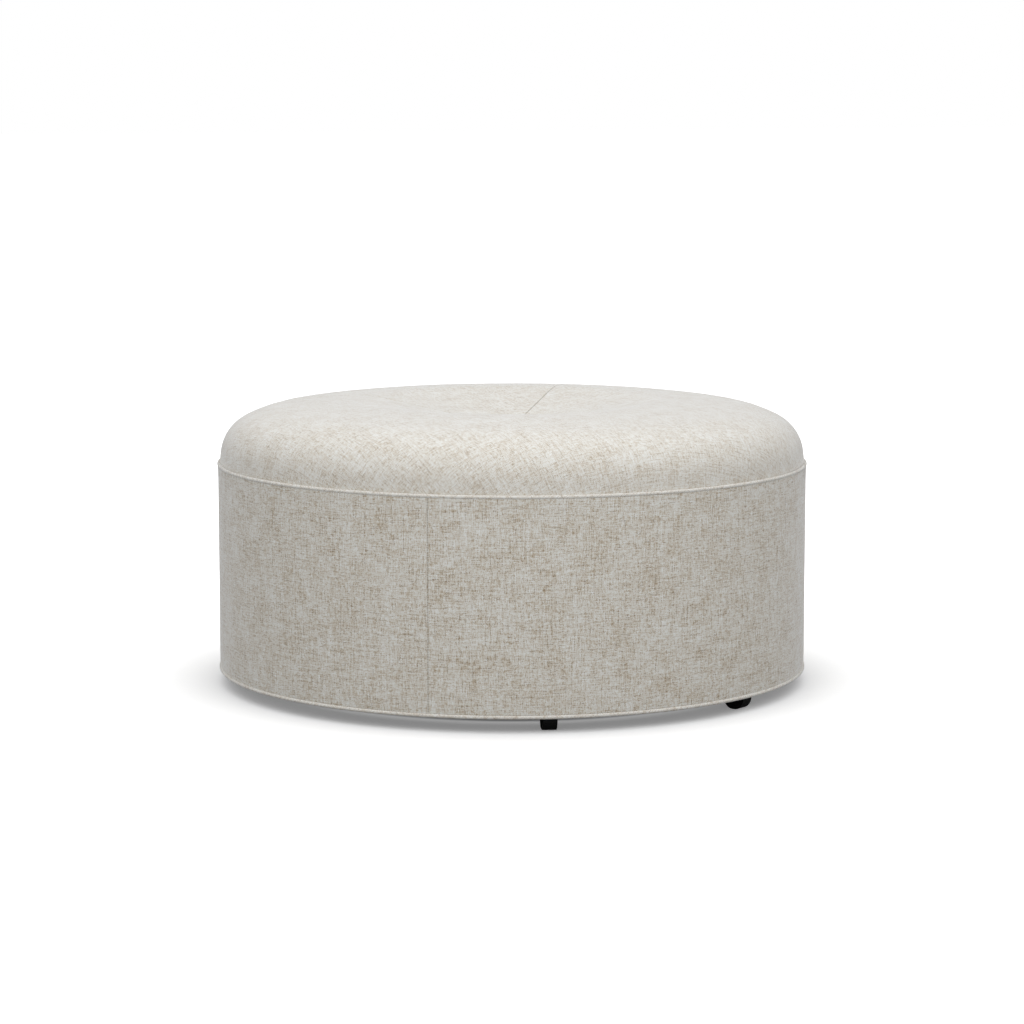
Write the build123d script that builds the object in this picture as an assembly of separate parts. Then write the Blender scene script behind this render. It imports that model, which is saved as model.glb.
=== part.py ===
from build123d import *
from math import asin, cos, degrees, radians, sin, sqrt
import os

# Round drum ottoman with a tight top that is pulled down at its centre. Millimetres, +Z up.
# The origin is on the floor under the drum's axis, and the front lies towards -Y.
# Azimuths run from the front towards +X.

# Overall form
drum_diameter = 914.4
welt_spacing = 317.6
foot_height = 20.7

# Soft goods
cover_thickness = 1.2
welt_diameter = 6.0
welt_cover_thickness = 0.8
welt_proud = 1.0
hem_width = 20.0
hem_slit = 0.1
wadding_thickness = 5.0
padding_thickness = 10.0
seam_gap = 0.3
soft_clearance = 0.3
cord_clearance = 0.3

# Crown of the seat, walked from the welt to the middle: a leaning side, four arcs, the dish's cone
crown_inset = 2.3
crown_lean = 6.1
crown_side = 16.0
edge_radius = 65.3
edge_angle = 58.4
shoulder_radius = 183.0
shoulder_angle = 17.2
table_radius = 900.0
table_angle = 7.7
crest_radius = 150.0
crest_angle = 11.3

# Tuft in the middle of the dish
tuft_start_radius = 40.0
tuft_radius = 45.0
tuft_angle = 27.0
tuft_floor_radius = 6.0
tuft_bore_radius = 3.0
button_diameter = 30.0
button_dome = 5.0
button_rim = 2.5
button_back_thickness = 1.2
button_neck_radius = 2.2
button_neck_length = 4.0
twine_radius = 1.0
knot_radius = 3.0
toggle_radius = 5.0
toggle_length = 60.0

# Frame
wrap_thickness = 3.0
ring_thickness = 18.0
ring_width = 100.0
frame_clearance = 0.3
upright_count = 8
upright_depth = 40.0
upright_width = 60.0
upright_setback = 7.0
rail_width = 45.0
rail_height = 22.0
rail_end_setback = 20.0
wrap_joint_gap = 2.0

# Deck
strap_width = 50.0
strap_thickness = 1.2
strap_pitch = 120.0
strap_count = 5
strap_end_setback = 10.0
cloth_thickness = 0.6
cloth_edge_setback = 4.0
deck_drop = 20.0

# Underside
dust_cover_thickness = 0.6
dust_cover_setback = 6.5
foot_length = 36.0
foot_width = 21.3
foot_round_radius = 18.0
foot_sole = 6.0
foot_edge_chamfer = 1.2
foot_setback = 30.0
foot_half_angle = 22.4

# Fasteners
screw_radius = 2.0
screw_head_radius = 3.8
screw_head_height = 3.0
screw_clearance = 0.05
foot_screw_length = 26.0
foot_counterbore_depth = 10.0
frame_screw_length = 45.0
rail_screw_length = 34.0
rail_screw_spacing = 50.0
staple_crown = 10.0
staple_leg = 8.0
staple_wire = 1.0
staple_clearance = 0.05
dust_staple_count = 32
dust_staple_setback = 22.0
strap_staple_setback = 12.0
strap_staple_spacing = 24.0

# Where the sewn joins lie: the band has two, and the top cover has one in line with the band's rear one
band_seam_azimuths = (-45.0, 135.0)
top_seam_azimuths = (135.0, 225.0)
wrap_joint_azimuth = 100.0

# Radii worked out from outside to inside
drum_radius = drum_diameter / 2
welt_radius = welt_diameter / 2
cover_inner_radius = drum_radius - cover_thickness
padding_outer_radius = cover_inner_radius - soft_clearance
padding_inner_radius = padding_outer_radius - padding_thickness
wrap_outer_radius = padding_inner_radius - frame_clearance
wrap_inner_radius = wrap_outer_radius - wrap_thickness
ring_outer_radius = wrap_inner_radius - frame_clearance
ring_inner_radius = ring_outer_radius - ring_width
welt_circle_radius = drum_radius + welt_proud - welt_radius
crown_radius = drum_radius - crown_inset

# Levels worked out from the floor up
dust_cover_top = foot_height + dust_cover_thickness
base_level = dust_cover_top + 2 * welt_cover_thickness
base_top = base_level + ring_thickness
bottom_welt_level = foot_height + welt_radius
top_welt_level = bottom_welt_level + welt_spacing
deck_top = top_welt_level - deck_drop
deck_level = deck_top - ring_thickness
strap_top = deck_top + 2 * strap_thickness
cloth_level = strap_top + staple_wire
cloth_top = cloth_level + cloth_thickness
foam_level = cloth_top + soft_clearance
wadding_inset = cover_thickness + soft_clearance
foam_inset = wadding_inset + wadding_thickness + soft_clearance
foot_circle_radius = drum_radius - foot_setback
foot_spread = foot_circle_radius * sin(radians(foot_half_angle))

os.makedirs("parts", exist_ok=True)


def save(name, solid):
    solid.label = name
    export_step(solid, f"parts/{name}.step")


def bearing(azimuth, radius, level):
    """Point at a bearing, turned from the front towards +X."""
    return (radius * sin(radians(azimuth)), -radius * cos(radians(azimuth)), level)


def facing(azimuth, radius, level):
    """Place whose own X runs outwards along the bearing and whose Z stays up."""
    return Location(bearing(azimuth, radius, level), (0, 0, azimuth - 90))


def tube(outer, inner, low, high):
    """Upright round wall between two levels."""
    section = Polyline((inner, 0, low), (outer, 0, low), (outer, 0, high), (inner, 0, high), close=True)
    return revolve(make_face(section), Axis.Z)


def disc(radius, low, high):
    return Pos(0, 0, low) * extrude(Circle(radius), high - low)


def turned(points):
    """Solid of revolution of a closed outline of straight lines, given as radius and level."""
    section = Polyline(*[(r, 0, z) for r, z in points], close=True)
    return revolve(make_face(section), Axis.Z)


def crown_walk(inset, floor):
    """Edges of the crown's outline, parallel to the cover's face at an inset, from a level up to the axis."""
    heading = 90 + crown_lean
    low = top_welt_level + welt_radius
    side_r = crown_radius - inset * cos(radians(crown_lean))
    side_z = low - inset * sin(radians(crown_lean))
    along = (floor - side_z) / cos(radians(crown_lean))
    start = (side_r - along * sin(radians(crown_lean)), floor)
    end = (side_r - crown_side * sin(radians(crown_lean)), side_z + crown_side * cos(radians(crown_lean)))
    edges = [line_between(start, end)]
    arcs = ((edge_radius, edge_angle), (shoulder_radius, shoulder_angle))
    arcs += ((table_radius, table_angle), (crest_radius, crest_angle))
    for radius, turn in arcs:
        edges.append(arc_from(end, heading, radius - inset, turn))
        end = arc_point(end, heading, radius - inset, turn)
        heading += turn
    cone = heading
    tuft_from = tuft_start_radius - inset * sin(radians(cone))
    run = (end[0] - tuft_from) / -cos(radians(cone))
    tuft = (tuft_from, end[1] + run * sin(radians(cone)))
    edges.append(line_between(end, tuft))
    edges.append(arc_from(tuft, cone, tuft_radius - inset, tuft_angle))
    end = arc_point(tuft, cone, tuft_radius - inset, tuft_angle)
    heading = cone + tuft_angle
    back = heading - 180
    edges.append(arc_from(end, heading, tuft_floor_radius + inset, -back))
    end = arc_point(end, heading, tuft_floor_radius + inset, -back)
    edges.append(line_between(end, (tuft_bore_radius, end[1])))
    return edges, start, (tuft_bore_radius, end[1])


def arc_point(start, heading, radius, turn):
    """End of an arc that leaves a point along a heading and turns, leftwards when positive."""
    side = 1 if turn > 0 else -1
    after = heading + turn
    r = start[0] + side * radius * (sin(radians(after)) - sin(radians(heading)))
    z = start[1] - side * radius * (cos(radians(after)) - cos(radians(heading)))
    return (r, z)


def arc_from(start, heading, radius, turn):
    middle = arc_point(start, heading, radius, turn / 2)
    end = arc_point(start, heading, radius, turn)
    return ThreePointArc(*[(r, 0, z) for r, z in (start, middle, end)])


def line_between(start, end):
    return Line((start[0], 0, start[1]), (end[0], 0, end[1]))


def crown_layer(outer_inset, inner_inset, floor):
    """Layer of even thickness that follows the crown from the welt to the bore in the tuft."""
    outer, outer_start, outer_end = crown_walk(outer_inset, floor)
    inner, inner_start, inner_end = crown_walk(inner_inset, floor)
    ends = [line_between(outer_start, inner_start), line_between(outer_end, inner_end)]
    return revolve(make_face(outer + inner + ends), Axis.Z)


def crown_top(inset):
    """Level of the tuft's floor at an inset below the cover's face."""
    return crown_walk(inset, top_welt_level + welt_radius)[2][1]


def seam_slot(azimuth, bottom, top):
    """Thin upright slot along a bearing, where two sewn pieces meet."""
    slot = Box(2 * drum_radius, seam_gap, top - bottom, align=(Align.MIN, Align.CENTER, Align.MIN))
    return facing(azimuth, 0, bottom) * slot


# Fasteners

def screw(length, clearance=0):
    """Countersunk-head screw pointing up, with its head's face at the origin."""
    radius = screw_radius + clearance
    head_radius = screw_head_radius + clearance
    outline = [(0, 0), (head_radius, 0), (radius, screw_head_height), (radius, length - radius)]
    outline += [(0, length + clearance)]
    return turned(outline)


def screw_down(length, clearance=0):
    return Rot(180, 0, 0) * screw(length, clearance)


def staple(clearance=0):
    """Staple whose crown lies along X on the face at the origin, with its legs going down."""
    wire = staple_wire + 2 * clearance
    crown = Box(staple_crown + wire, wire, staple_wire, align=(Align.CENTER, Align.CENTER, Align.MIN))
    leg = Box(wire, wire, staple_leg, align=(Align.CENTER, Align.CENTER, Align.MAX))
    half = staple_crown / 2
    return crown + Pos(half, 0, 0) * leg + Pos(-half, 0, 0) * leg


def upright_azimuths():
    return [k * 360 / upright_count for k in range(upright_count)]


def upright_radius():
    """Bearing radius of an upright's middle."""
    return ring_outer_radius - upright_setback - upright_depth / 2


def foot_azimuths():
    """Two feet at the front and two at the back, each pair even about the middle."""
    return [-foot_half_angle, foot_half_angle, 180 - foot_half_angle, 180 + foot_half_angle]


def upright_screw_places():
    low = [Pos(*bearing(a, upright_radius(), base_level)) for a in upright_azimuths()]
    high = [Pos(*bearing(a, upright_radius(), deck_top)) for a in upright_azimuths()]
    return low, high


def rail_half_length():
    return sqrt(ring_outer_radius ** 2 - foot_spread ** 2) - rail_end_setback


def rail_screw_places():
    """Two screws at each rail end, over the base ring."""
    first = rail_half_length() - rail_end_setback
    spots = [(x, y) for x in (-foot_spread, foot_spread) for y in (-first, first)]
    inward = rail_screw_spacing
    spots += [(x, y + inward if y < 0 else y - inward) for x, y in spots]
    return [Pos(x, y, base_top + rail_height) for x, y in spots]


def foot_screw_places():
    return [Pos(*bearing(a, foot_circle_radius, foot_counterbore_depth)) for a in foot_azimuths()]


def strap_offsets():
    middle = (strap_count - 1) / 2
    return [(k - middle) * strap_pitch for k in range(strap_count)]


def strap_half_length(offset):
    reach = ring_outer_radius - strap_end_setback
    return sqrt(reach ** 2 - (abs(offset) + strap_width / 2) ** 2)


def strap_staple_places(level, turn):
    """Two staples at each end of every strap of one layer."""
    places = []
    for offset in strap_offsets():
        for end in (-1, 1):
            y = end * (strap_half_length(offset) - strap_staple_setback)
            for side in (-1, 1):
                x = offset + side * strap_staple_spacing / 2
                places.append(Rot(0, 0, turn) * Pos(x, y, level))
    return places


def dust_staple_places():
    """Staples around the dust cover, crown down, between the feet."""
    radius = ring_outer_radius - dust_staple_setback
    step = 360 / dust_staple_count
    places = []
    for k in range(dust_staple_count):
        azimuth = (k + 1 / 2) * step
        near_foot = [abs((azimuth - a + 180) % 360 - 180) * radians(radius) for a in foot_azimuths()]
        if min(near_foot) > foot_width:
            places.append(facing(azimuth, radius, foot_height) * Rot(0, 0, 90) * Rot(180, 0, 0))
    return places


def placed(places, solid):
    return Compound(children=[place * solid for place in places])


def cut_all(solid, places, tool):
    for place in places:
        solid = solid - place * tool
    return solid


# Frame pieces

def base_ring():
    """Plywood ring that the uprights stand on and the feet are screwed to."""
    ring = tube(ring_outer_radius, ring_inner_radius, base_level, base_top)
    ring = cut_all(ring, upright_screw_places()[0], screw(frame_screw_length, screw_clearance))
    ring = cut_all(ring, rail_screw_places(), screw_down(rail_screw_length, screw_clearance))
    ring = cut_all(ring, foot_screw_places(), screw(foot_screw_length, screw_clearance))
    return cut_all(ring, dust_staple_places(), staple(staple_clearance))


def deck_ring():
    """Plywood ring on top of the uprights, which carries the webbing."""
    ring = tube(ring_outer_radius, ring_inner_radius, deck_level, deck_top)
    ring = cut_all(ring, upright_screw_places()[1], screw_down(frame_screw_length, screw_clearance))
    ring = cut_all(ring, strap_staple_places(deck_top + strap_thickness, 0), staple(staple_clearance))
    return cut_all(ring, strap_staple_places(deck_top + 2 * strap_thickness, 90), staple(staple_clearance))


def upright(azimuth):
    """Square-cut post between the rings."""
    post = Box(upright_depth, upright_width, deck_level - base_top, align=(Align.CENTER, Align.CENTER, Align.MIN))
    post = facing(azimuth, upright_radius(), base_top) * post
    low, high = [Pos(*bearing(azimuth, upright_radius(), z)) for z in (base_level, deck_top)]
    post = post - low * screw(frame_screw_length, screw_clearance)
    return post - high * screw_down(frame_screw_length, screw_clearance)


def base_rail(side):
    """Straight rail over one line of feet, lying on the base ring."""
    rail = Box(rail_width, 2 * rail_half_length(), rail_height, align=(Align.CENTER, Align.CENTER, Align.MIN))
    rail = Pos(side * foot_spread, 0, base_top) * rail
    return cut_all(rail, rail_screw_places(), screw_down(rail_screw_length, screw_clearance))


def side_wrap():
    """Bent hardboard wall around both rings, with its ends butted at one upright."""
    wall = tube(wrap_outer_radius, wrap_inner_radius, base_level, deck_top)
    gap = Box(2 * drum_radius, wrap_joint_gap, deck_top - base_level, align=(Align.MIN, Align.CENTER, Align.MIN))
    return wall - facing(wrap_joint_azimuth, 0, base_level) * gap


# Soft pieces of the side

def band_padding():
    """Foam sheet round the wall, rebated at both ends for the welts."""
    inner = padding_inner_radius
    rebate = welt_circle_radius - welt_radius - soft_clearance
    outer = padding_outer_radius
    low = base_level + soft_clearance
    low_step = bottom_welt_level + welt_radius + soft_clearance
    high_step = top_welt_level - welt_radius - soft_clearance
    high = top_welt_level - welt_cover_thickness - soft_clearance
    outline = [(inner, low), (rebate, low), (rebate, low_step), (outer, low_step)]
    outline += [(outer, high_step), (rebate, high_step), (rebate, high), (inner, high)]
    return turned(outline)


def band_cover():
    """Both halves of the woven band, from the bottom welt to the top welt."""
    low = bottom_welt_level + welt_radius + soft_clearance
    high = top_welt_level - welt_radius - soft_clearance
    wall = tube(drum_radius, cover_inner_radius, low, high)
    for azimuth in band_seam_azimuths:
        wall = wall - seam_slot(azimuth, low - welt_radius, high + welt_radius)
    return sorted(wall.solids(), key=lambda piece: piece.center().X)


def welt_cord(level):
    """Round filler cord inside a welt."""
    radius = welt_radius - welt_cover_thickness - cord_clearance
    section = Location((welt_circle_radius, 0, level), (90, 0, 0)) * Circle(radius)
    return revolve(section, Axis.Z)


def welt_cover(level, hem_low, hem_high, hem_inner):
    """Two strips folded round a cord, joined in line with the band's seams, with their edges flat together as the hem."""
    outer = welt_radius
    inner = welt_radius - welt_cover_thickness
    slit_low = (hem_low + hem_high - hem_slit) / 2
    slit_high = slit_low + hem_slit
    outside = roll_points(outer, level, hem_low, hem_high)
    inside = roll_points(inner, level, slit_low, slit_high)
    edges = roll_arcs(outside) + roll_arcs(inside)
    edges += [line_between((hem_inner, hem_low), outside[0]), line_between(outside[-1], (hem_inner, hem_high))]
    edges += [line_between((hem_inner, hem_high), (hem_inner, slit_high))]
    edges += [line_between((hem_inner, slit_high), inside[-1]), line_between(inside[0], (hem_inner, slit_low))]
    edges += [line_between((hem_inner, slit_low), (hem_inner, hem_low))]
    section = make_face(edges).faces()[0]
    joint = degrees(seam_gap / drum_radius)
    first, second = band_seam_azimuths
    strips = []
    for start, end in ((first, second), (second, first + 360)):
        begun = section.rotate(Axis.Z, start - 90 + joint / 2)
        strips.append(Solid.revolve(begun, end - start - joint, Axis.Z))
    return Compound(children=strips)


def roll_points(radius, level, low, high):
    """Points round a roll's section, from one level on its inner side the long way to another."""
    first = -180 - degrees(asin((low - level) / radius))
    last = 180 - degrees(asin((high - level) / radius))
    steps = 12
    angles = [first * (steps - k) / steps for k in range(steps)]
    angles += [last * k / steps for k in range(steps + 1)]
    turns = [radians(angle) for angle in angles]
    return [(welt_circle_radius + radius * cos(a), level + radius * sin(a)) for a in turns]


def roll_arcs(points):
    """Arcs of under half a circle through every second point."""
    arcs = []
    for k in range(0, len(points) - 1, 2):
        arcs.append(ThreePointArc(*[(r, 0, z) for r, z in points[k:k + 3]]))
    return arcs


# Seat

def seat_foam():
    """Crowned foam pad with the dish and the tuft in it, standing on the deck cloth inside the side's foam."""
    low_radius = padding_inner_radius - soft_clearance
    step = top_welt_level + welt_cover_thickness + soft_clearance
    outline, start, end = crown_walk(foam_inset, step)
    points = [start, (low_radius, step), (low_radius, foam_level), (end[0], foam_level), end]
    outline += [line_between(p, q) for p, q in zip(points, points[1:])]
    return revolve(make_face(outline), Axis.Z)


def crown_wadding():
    """Fibre layer over the foam."""
    floor = top_welt_level + welt_radius + soft_clearance
    return crown_layer(wadding_inset, wadding_inset + wadding_thickness, floor)


def top_cover():
    """Large piece and quarter piece of the woven top, split along two seams."""
    floor = top_welt_level + welt_radius + soft_clearance
    skin = crown_layer(0, cover_thickness, floor)
    low, high = top_seam_azimuths
    top = top_welt_level + drum_radius
    for azimuth in top_seam_azimuths:
        skin = skin - seam_slot(azimuth, deck_top, top)
    pieces = skin.solids()
    return sorted(pieces, key=lambda piece: piece.volume)


# Deck

def strap_layer(level, turn):
    """One layer of webbing straps, all running the same way."""
    straps = []
    bore = Cylinder(twine_radius + soft_clearance, 4 * strap_thickness)
    for offset in strap_offsets():
        strap = Box(strap_width, 2 * strap_half_length(offset), strap_thickness)
        strap = Pos(offset, 0, level + strap_thickness / 2) * strap
        if offset == 0:
            strap = strap - Pos(0, 0, level) * bore
        straps.append(Rot(0, 0, turn) * strap)
    return straps


def webbing(level, turn, staples_from):
    """Straps of one layer, pierced by the staples that hold them and cross them."""
    pierced = []
    for strap in strap_layer(level, turn):
        for places in staples_from:
            strap = cut_near(strap, places, staple(staple_clearance))
        pierced.append(strap)
    return Compound(children=pierced)


def cut_near(solid, places, tool):
    """Cut only the tools that stand within a solid's box."""
    box = solid.bounding_box()
    for place in places:
        at = place.position
        if box.min.X < at.X < box.max.X and box.min.Y < at.Y < box.max.Y:
            solid = solid - place * tool
    return solid


def deck_cloth():
    """Woven sheet over the webbing and its staples, under the foam."""
    sheet = disc(ring_outer_radius - cloth_edge_setback, cloth_level, cloth_top)
    bore = Cylinder(twine_radius + soft_clearance, 4 * cloth_thickness)
    return sheet - Pos(0, 0, cloth_top) * bore


# Tuft

def tuft_level():
    """Level that the button's rim rests at, just over the cover."""
    return crown_top(0) + soft_clearance


def button_profile_radius():
    return button_diameter / 2


def tuft_button():
    """Fabric-covered domed button with a recess for its back plate."""
    radius = button_profile_radius()
    low = tuft_level()
    brim = low + button_rim
    crest = brim + button_dome
    plate = radius - button_rim
    ball = (radius ** 2 + button_dome ** 2) / (2 * button_dome)
    bend = asin(radius / ball) / 2
    dome = ThreePointArc((radius, 0, brim), (ball * sin(bend), 0, crest - ball * (1 - cos(bend))), (0, 0, crest))
    inside = low + button_back_thickness
    path = [(0, crest), (0, inside), (plate, inside), (plate, low), (radius, low), (radius, brim)]
    edges = [line_between(p, q) for p, q in zip(path, path[1:])]
    return revolve(make_face([dome] + edges), Axis.Z)


def button_back():
    """Steel back plate and the neck that takes the twine."""
    radius = button_profile_radius() - button_rim - cord_clearance
    low = tuft_level()
    plate = disc(radius, low, low + button_back_thickness)
    return plate + disc(button_neck_radius, low - button_neck_length, low)


def tuft_twine():
    """Twine from the button's neck down to the knot under the toggle."""
    top = tuft_level() - button_neck_length
    knot_level = toggle_level() - toggle_radius - knot_radius
    line = disc(twine_radius, knot_level, top)
    return line + Pos(0, 0, knot_level) * Sphere(knot_radius)


def toggle_level():
    return deck_top - soft_clearance - toggle_radius


def twine_toggle():
    """Wooden stick under the middle straps that the twine pulls against."""
    stick = Pos(0, 0, toggle_level()) * Rot(0, 90, 0) * Cylinder(toggle_radius, toggle_length)
    return stick - Pos(0, 0, toggle_level()) * Cylinder(twine_radius + soft_clearance, 4 * toggle_radius)


# Underside

def dust_cover():
    """Thin black sheet that closes the underside."""
    sheet = disc(padding_outer_radius - dust_cover_setback, foot_height, dust_cover_top)
    sheet = cut_all(sheet, foot_screw_places(), screw(foot_screw_length, screw_clearance))
    return cut_all(sheet, dust_staple_places(), staple(staple_clearance))


def foot(azimuth):
    """Moulded glide block with a half-round sole, cut flat where it rests."""
    half = foot_length / 2
    sole = foot_sole / 2
    centre = sqrt(foot_round_radius ** 2 - sole ** 2)
    lean = radians(45)
    bend = (foot_round_radius * sin(lean), centre - foot_round_radius * cos(lean))
    right = ThreePointArc((sole, 0, 0), (bend[0], 0, bend[1]), (half, 0, centre))
    left = ThreePointArc((-sole, 0, 0), (-bend[0], 0, bend[1]), (-half, 0, centre))
    points = [(half, centre), (half, foot_height), (-half, foot_height), (-half, centre)]
    edges = [line_between(p, q) for p, q in zip(points, points[1:])]
    edges += [right, left, line_between((-sole, 0), (sole, 0))]
    block = extrude(make_face(edges), foot_width / 2, both=True)
    block = block & foot_front()
    block = block - Cylinder(screw_head_radius + screw_clearance, 2 * foot_counterbore_depth)
    block = block - Pos(0, 0, foot_counterbore_depth) * screw(foot_screw_length, screw_clearance)
    return facing(azimuth, foot_circle_radius, 0) * block


def foot_front():
    """Prism with the foot's front view, whose lower corners are cut off."""
    wide = foot_width / 2
    narrow = wide - foot_edge_chamfer
    points = [(-narrow, 0), (narrow, 0), (wide, foot_edge_chamfer), (wide, foot_height)]
    points += [(-wide, foot_height), (-wide, foot_edge_chamfer)]
    section = make_face(Polyline(*[(0, y, z) for y, z in points], close=True))
    return extrude(section, foot_length, both=True)


def write_parts():
    low_screws, high_screws = upright_screw_places()
    lower_staples = strap_staple_places(deck_top + strap_thickness, 0)
    upper_staples = strap_staple_places(deck_top + 2 * strap_thickness, 90)

    save("base_ring", base_ring())
    save("deck_ring", deck_ring())
    for number, azimuth in enumerate(upright_azimuths(), 1):
        save(f"upright_{number}", upright(azimuth))
    save("base_rail_left", base_rail(-1))
    save("base_rail_right", base_rail(1))
    save("side_wrap", side_wrap())

    save("band_padding", band_padding())
    for name, piece in zip(("band_cover_left", "band_cover_right"), band_cover()):
        save(name, piece)
    hem_high = top_welt_level + welt_cover_thickness
    hem_low = top_welt_level - welt_cover_thickness
    save("top_welt_cord", welt_cord(top_welt_level))
    save("top_welt_cover", welt_cover(top_welt_level, hem_low, hem_high, padding_inner_radius))
    save("bottom_welt_cord", welt_cord(bottom_welt_level))
    hem_inner = welt_circle_radius - hem_width
    save("bottom_welt_cover", welt_cover(bottom_welt_level, dust_cover_top, base_level, hem_inner))

    save("webbing_lower", webbing(deck_top, 0, (lower_staples, upper_staples)))
    save("webbing_upper", webbing(deck_top + strap_thickness, 90, (lower_staples, upper_staples)))
    save("deck_cloth", deck_cloth())
    save("seat_foam", seat_foam())
    save("crown_wadding", crown_wadding())
    for name, piece in zip(("top_cover_quarter", "top_cover_main"), top_cover()):
        save(name, piece)
    save("tuft_button", tuft_button())
    save("button_back", button_back())
    save("tuft_twine", tuft_twine())
    save("twine_toggle", twine_toggle())

    save("dust_cover", dust_cover())
    for number, azimuth in enumerate(foot_azimuths(), 1):
        save(f"foot_{number}", foot(azimuth))
    save("foot_screws", placed(foot_screw_places(), screw(foot_screw_length)))
    save("rail_screws", placed(rail_screw_places(), screw_down(rail_screw_length)))
    rising = [place * screw(frame_screw_length) for place in low_screws]
    falling = [place * screw_down(frame_screw_length) for place in high_screws]
    save("frame_screws", Compound(children=rising + falling))
    webbing_staples = placed(lower_staples + upper_staples, staple())
    save("webbing_staples", webbing_staples)
    save("dust_cover_staples", placed(dust_staple_places(), staple()))


write_parts()
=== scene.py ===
import bmesh
import bpy
import math
from mathutils import Matrix, Vector, noise


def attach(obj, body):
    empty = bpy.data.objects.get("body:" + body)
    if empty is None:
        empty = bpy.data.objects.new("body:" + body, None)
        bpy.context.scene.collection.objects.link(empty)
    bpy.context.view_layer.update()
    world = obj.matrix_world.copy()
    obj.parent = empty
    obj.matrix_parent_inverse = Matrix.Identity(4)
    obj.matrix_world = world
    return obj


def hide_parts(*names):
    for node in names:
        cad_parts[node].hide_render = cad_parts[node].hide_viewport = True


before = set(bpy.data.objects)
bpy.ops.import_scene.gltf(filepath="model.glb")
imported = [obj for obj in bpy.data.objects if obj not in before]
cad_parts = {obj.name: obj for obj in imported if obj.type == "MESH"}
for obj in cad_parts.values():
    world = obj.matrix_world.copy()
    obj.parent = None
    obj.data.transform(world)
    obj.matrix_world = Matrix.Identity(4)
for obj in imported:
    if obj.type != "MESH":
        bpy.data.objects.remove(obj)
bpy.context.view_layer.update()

# Plywood rings
# Two rings of birch plywood, sawn from sheet, carry the drum: one under the side and one under the seat.
# Their faces show plain veneer, and their sawn edges show the plies in turn.


def new_finish(name, roughness):
    made = bpy.data.materials.new(name)
    made.use_nodes = True
    surface = made.node_tree.nodes["Principled BSDF"]
    surface.inputs["Roughness"].default_value = roughness
    return made, made.node_tree, surface


def add_node(tree, kind, settings=(), values=(), links=()):
    made = tree.nodes.new(kind)
    for key, value in settings:
        setattr(made, key, value)
    for key, value in values:
        made.inputs[key].default_value = value
    for key, source in links:
        tree.links.new(source, made.inputs[key])
    return made


def add_math(tree, operation, *values):
    made = add_node(tree, "ShaderNodeMath", [("operation", operation)])
    for place, value in enumerate(values):
        if isinstance(value, (int, float)):
            made.inputs[place].default_value = value
        else:
            tree.links.new(value, made.inputs[place])
    return made.outputs[0]


def add_noise(tree, place, scale, detail=2.0, roughness=0.5, dimensions="3D"):
    settings = [("noise_dimensions", dimensions)]
    values = [("Scale", scale), ("Detail", detail), ("Roughness", roughness)]
    made = add_node(tree, "ShaderNodeTexNoise", settings, values, [("Vector", place)])
    return made.outputs["Fac"]


def add_ramp(tree, factor, stops):
    """Turns a factor into colours by stops, each a position and its colour."""
    made = add_node(tree, "ShaderNodeValToRGB", links=[("Fac", factor)])
    ramp = made.color_ramp
    while len(ramp.elements) < len(stops):
        ramp.elements.new(0.5)
    for element, (position, color) in zip(ramp.elements, stops):
        element.position = position
        element.color = (*color, 1.0)
    return made.outputs["Color"]


def add_mix(tree, factor, first, second):
    made = add_node(tree, "ShaderNodeMix", [("data_type", "RGBA")])
    for place, value in ((0, factor), (6, first), (7, second)):
        if isinstance(value, (int, float)):
            made.inputs[place].default_value = value
        elif isinstance(value, tuple):
            made.inputs[place].default_value = (*value, 1.0)
        else:
            tree.links.new(value, made.inputs[place])
    return made.outputs[2]


def add_bump(tree, surface, height, strength, distance):
    """Gives a surface fine relief, as high as the distance in metres at full strength."""
    values = [("Strength", strength), ("Distance", distance)]
    made = add_node(tree, "ShaderNodeBump", (), values, [("Height", height)])
    tree.links.new(made.outputs["Normal"], surface.inputs["Normal"])


def split(tree, vector):
    made = add_node(tree, "ShaderNodeSeparateXYZ", links=[("Vector", vector)])
    return made.outputs["X"], made.outputs["Y"], made.outputs["Z"]


def drawn_out(tree, scale):
    """A place on the piece, with each axis scaled by its own amount."""
    place = add_node(tree, "ShaderNodeTexCoord").outputs["Object"]
    made = add_node(tree, "ShaderNodeMapping", (), [("Scale", scale)], [("Vector", place)])
    return made.outputs["Vector"]


def finish_node(name, material):
    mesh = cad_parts[name].data
    mesh.materials.clear()
    mesh.materials.append(material)


ply_pair = 0.0021
veneer_tones = [(0.3, (0.50, 0.34, 0.19)), (0.5, (0.64, 0.47, 0.29)), (0.72, (0.72, 0.56, 0.37))]
ply_tones = [(0.0, (0.42, 0.27, 0.14)), (1.0, (0.66, 0.49, 0.31))]

plywood, tree, surface = new_finish("birch_plywood", 0.62)
grain = add_noise(tree, drawn_out(tree, (4, 60, 20)), 3.0, 6.0, 0.6)
veneer = add_ramp(tree, grain, veneer_tones)
level = split(tree, add_node(tree, "ShaderNodeTexCoord").outputs["Object"])[2]
ply = add_math(tree, "GREATER_THAN", add_math(tree, "PINGPONG", level, ply_pair), ply_pair / 2)
edge = add_ramp(tree, ply, ply_tones)
facing = split(tree, add_node(tree, "ShaderNodeNewGeometry").outputs["Normal"])[2]
color = add_mix(tree, add_math(tree, "ABSOLUTE", facing), edge, veneer)
tree.links.new(color, surface.inputs["Base Color"])
add_bump(tree, surface, grain, 0.15, 0.0006)
for name in ("base_ring", "deck_ring"):
    finish_node(name, plywood)

# Wall posts and base rails
# Eight pine posts join the rings, and two pine rails cross the base ring's opening to stiffen it.
# The wood is planed and left raw, with its grain running along each piece.

pine_tones = [(0.0, (0.47, 0.29, 0.14)), (0.45, (0.70, 0.50, 0.29)), (1.0, (0.78, 0.60, 0.38))]


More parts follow.
